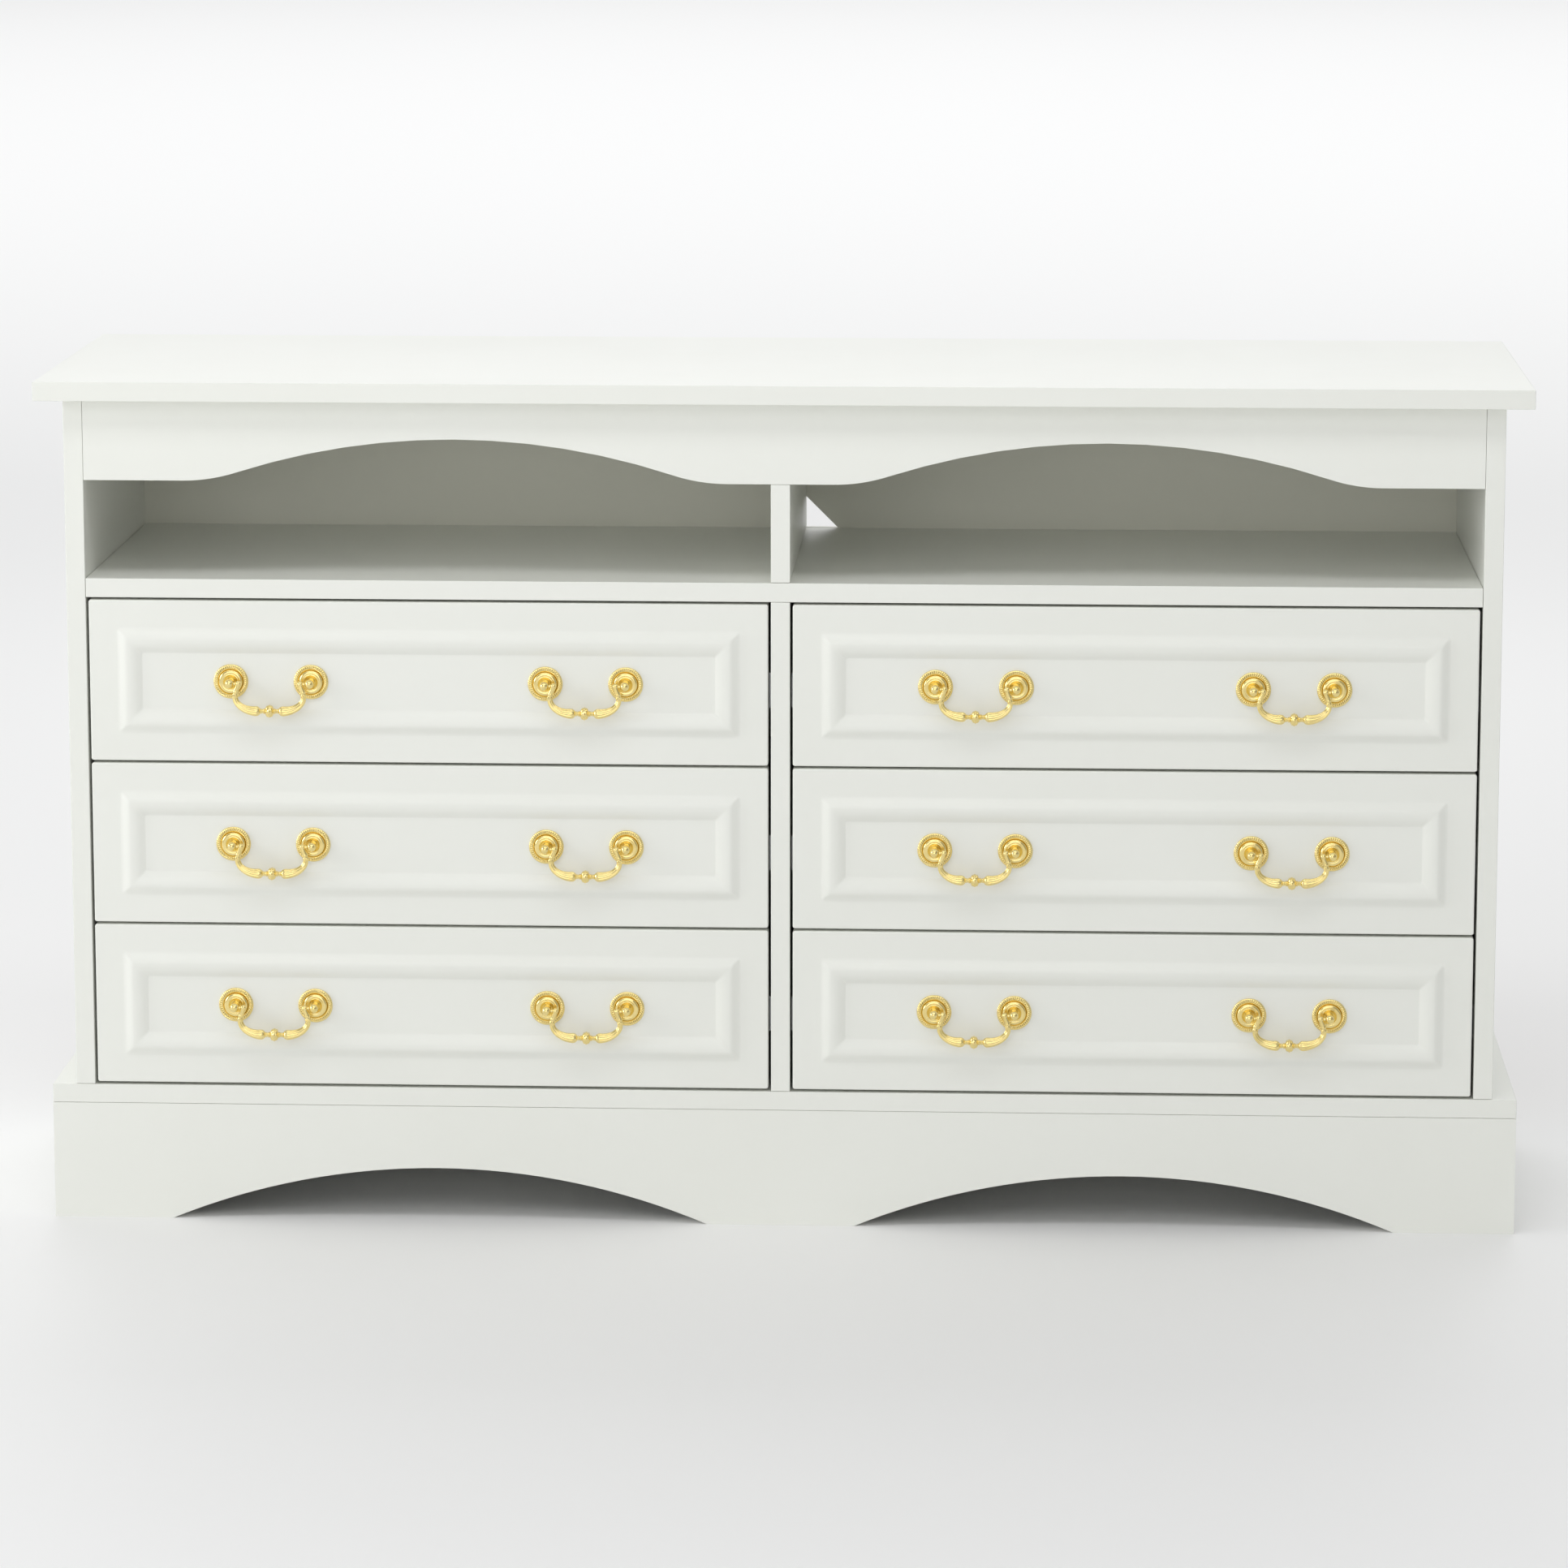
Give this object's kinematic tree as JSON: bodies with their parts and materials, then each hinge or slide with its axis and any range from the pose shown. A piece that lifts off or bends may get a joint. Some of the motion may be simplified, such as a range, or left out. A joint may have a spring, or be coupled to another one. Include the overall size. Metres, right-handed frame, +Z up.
{
  "type": "dresser with drawers",
  "caption": "Low white double dresser with inset moulded drawer fronts, brass bail pulls, open cubbies under a scalloped valance, and an arched plinth.",
  "frame": {"origin": "centre of the bounding box in plan, on the floor", "axes": "+Z up, +X to the right of someone facing the drawers, and the drawers face -Y"},
  "size_m": [1.4, 0.4, 0.81],
  "materials": {
    "white_board": "satin white paint on smooth board",
    "back_board": "white-faced hardboard, brown on its rear face",
    "drawer_board": "matt white foil-wrapped board",
    "brass": "polished and lacquered",
    "zinc_steel": "bright zinc plate"
  },
  "bodies": {
    "case": {"top_panel": "white_board", "left_side_panel": "white_board", "right_side_panel": "white_board", "shelf_panel": "white_board", "upper_divider": "white_board", "lower_divider": "white_board", "valance": "white_board", "base_panel": "white_board", "front_apron": "white_board", "rear_apron": "white_board", "left_side_apron": "white_board", "right_side_apron": "white_board", "centre_support": "white_board", "upper_back_left": "back_board", "upper_back_right": "back_board", "lower_back_left": "back_board", "lower_back_right": "back_board", "runner_top_left_case_side": "zinc_steel", "runner_top_left_divider_side": "zinc_steel", "runner_top_right_case_side": "zinc_steel", "runner_top_right_divider_side": "zinc_steel", "runner_middle_left_case_side": "zinc_steel", "runner_middle_left_divider_side": "zinc_steel", "runner_middle_right_case_side": "zinc_steel", "runner_middle_right_divider_side": "zinc_steel", "runner_bottom_left_case_side": "zinc_steel", "runner_bottom_left_divider_side": "zinc_steel", "runner_bottom_right_case_side": "zinc_steel", "runner_bottom_right_divider_side": "zinc_steel"},
    "drawer_top_left": {"drawer_top_left_front": "white_board", "drawer_top_left_shell": "drawer_board", "drawer_top_left_base": "drawer_board"},
    "bail_top_left_1": {"bail_top_left_1": "brass"},
    "bail_top_left_2": {"bail_top_left_2": "brass"},
    "drawer_top_right": {"drawer_top_right_front": "white_board", "drawer_top_right_shell": "drawer_board", "drawer_top_right_base": "drawer_board"},
    "bail_top_right_1": {"bail_top_right_1": "brass"},
    "bail_top_right_2": {"bail_top_right_2": "brass"},
    "drawer_middle_left": {"drawer_middle_left_front": "white_board", "drawer_middle_left_shell": "drawer_board", "drawer_middle_left_base": "drawer_board"},
    "bail_middle_left_1": {"bail_middle_left_1": "brass"},
    "bail_middle_left_2": {"bail_middle_left_2": "brass"},
    "drawer_middle_right": {"drawer_middle_right_front": "white_board", "drawer_middle_right_shell": "drawer_board", "drawer_middle_right_base": "drawer_board"},
    "bail_middle_right_1": {"bail_middle_right_1": "brass"},
    "bail_middle_right_2": {"bail_middle_right_2": "brass"},
    "drawer_bottom_left": {"drawer_bottom_left_front": "white_board", "drawer_bottom_left_shell": "drawer_board", "drawer_bottom_left_base": "drawer_board"},
    "bail_bottom_left_1": {"bail_bottom_left_1": "brass"},
    "bail_bottom_left_2": {"bail_bottom_left_2": "brass"},
    "drawer_bottom_right": {"drawer_bottom_right_front": "white_board", "drawer_bottom_right_shell": "drawer_board", "drawer_bottom_right_base": "drawer_board"},
    "bail_bottom_right_1": {"bail_bottom_right_1": "brass"},
    "bail_bottom_right_2": {"bail_bottom_right_2": "brass"}
  },
  "joints": [
    {"name": "drawer_top_left_slide", "type": "slide", "parent": "case", "child": "drawer_top_left", "axis": [0, -1, 0], "range_m": [0, 0.23]},
    {"name": "bail_top_left_1_swing", "type": "hinge", "parent": "drawer_top_left", "child": "bail_top_left_1", "pos_m": [-0.482, -0.1935, 0.5238], "axis": [-1, 0, 0], "range_deg": [0, 90]},
    {"name": "bail_top_left_2_swing", "type": "hinge", "parent": "drawer_top_left", "child": "bail_top_left_2", "pos_m": [-0.184, -0.1935, 0.5238], "axis": [-1, 0, 0], "range_deg": [0, 90]},
    {"name": "drawer_top_right_slide", "type": "slide", "parent": "case", "child": "drawer_top_right", "axis": [0, -1, 0], "range_m": [0, 0.23]},
    {"name": "bail_top_right_1_swing", "type": "hinge", "parent": "drawer_top_right", "child": "bail_top_right_1", "pos_m": [0.184, -0.1935, 0.5238], "axis": [-1, 0, 0], "range_deg": [0, 90]},
    {"name": "bail_top_right_2_swing", "type": "hinge", "parent": "drawer_top_right", "child": "bail_top_right_2", "pos_m": [0.482, -0.1935, 0.5238], "axis": [-1, 0, 0], "range_deg": [0, 90]},
    {"name": "drawer_middle_left_slide", "type": "slide", "parent": "case", "child": "drawer_middle_left", "axis": [0, -1, 0], "range_m": [0, 0.23]},
    {"name": "bail_middle_left_1_swing", "type": "hinge", "parent": "drawer_middle_left", "child": "bail_middle_left_1", "pos_m": [-0.482, -0.1935, 0.3672], "axis": [-1, 0, 0], "range_deg": [0, 90]},
    {"name": "bail_middle_left_2_swing", "type": "hinge", "parent": "drawer_middle_left", "child": "bail_middle_left_2", "pos_m": [-0.184, -0.1935, 0.3672], "axis": [-1, 0, 0], "range_deg": [0, 90]},
    {"name": "drawer_middle_right_slide", "type": "slide", "parent": "case", "child": "drawer_middle_right", "axis": [0, -1, 0], "range_m": [0, 0.23]},
    {"name": "bail_middle_right_1_swing", "type": "hinge", "parent": "drawer_middle_right", "child": "bail_middle_right_1", "pos_m": [0.184, -0.1935, 0.3672], "axis": [-1, 0, 0], "range_deg": [0, 90]},
    {"name": "bail_middle_right_2_swing", "type": "hinge", "parent": "drawer_middle_right", "child": "bail_middle_right_2", "pos_m": [0.482, -0.1935, 0.3672], "axis": [-1, 0, 0], "range_deg": [0, 90]},
    {"name": "drawer_bottom_left_slide", "type": "slide", "parent": "case", "child": "drawer_bottom_left", "axis": [0, -1, 0], "range_m": [0, 0.23]},
    {"name": "bail_bottom_left_1_swing", "type": "hinge", "parent": "drawer_bottom_left", "child": "bail_bottom_left_1", "pos_m": [-0.482, -0.1935, 0.2106], "axis": [-1, 0, 0], "range_deg": [0, 90]},
    {"name": "bail_bottom_left_2_swing", "type": "hinge", "parent": "drawer_bottom_left", "child": "bail_bottom_left_2", "pos_m": [-0.184, -0.1935, 0.2106], "axis": [-1, 0, 0], "range_deg": [0, 90]},
    {"name": "drawer_bottom_right_slide", "type": "slide", "parent": "case", "child": "drawer_bottom_right", "axis": [0, -1, 0], "range_m": [0, 0.23]},
    {"name": "bail_bottom_right_1_swing", "type": "hinge", "parent": "drawer_bottom_right", "child": "bail_bottom_right_1", "pos_m": [0.184, -0.1935, 0.2106], "axis": [-1, 0, 0], "range_deg": [0, 90]},
    {"name": "bail_bottom_right_2_swing", "type": "hinge", "parent": "drawer_bottom_right", "child": "bail_bottom_right_2", "pos_m": [0.482, -0.1935, 0.2106], "axis": [-1, 0, 0], "range_deg": [0, 90]}
  ]
}
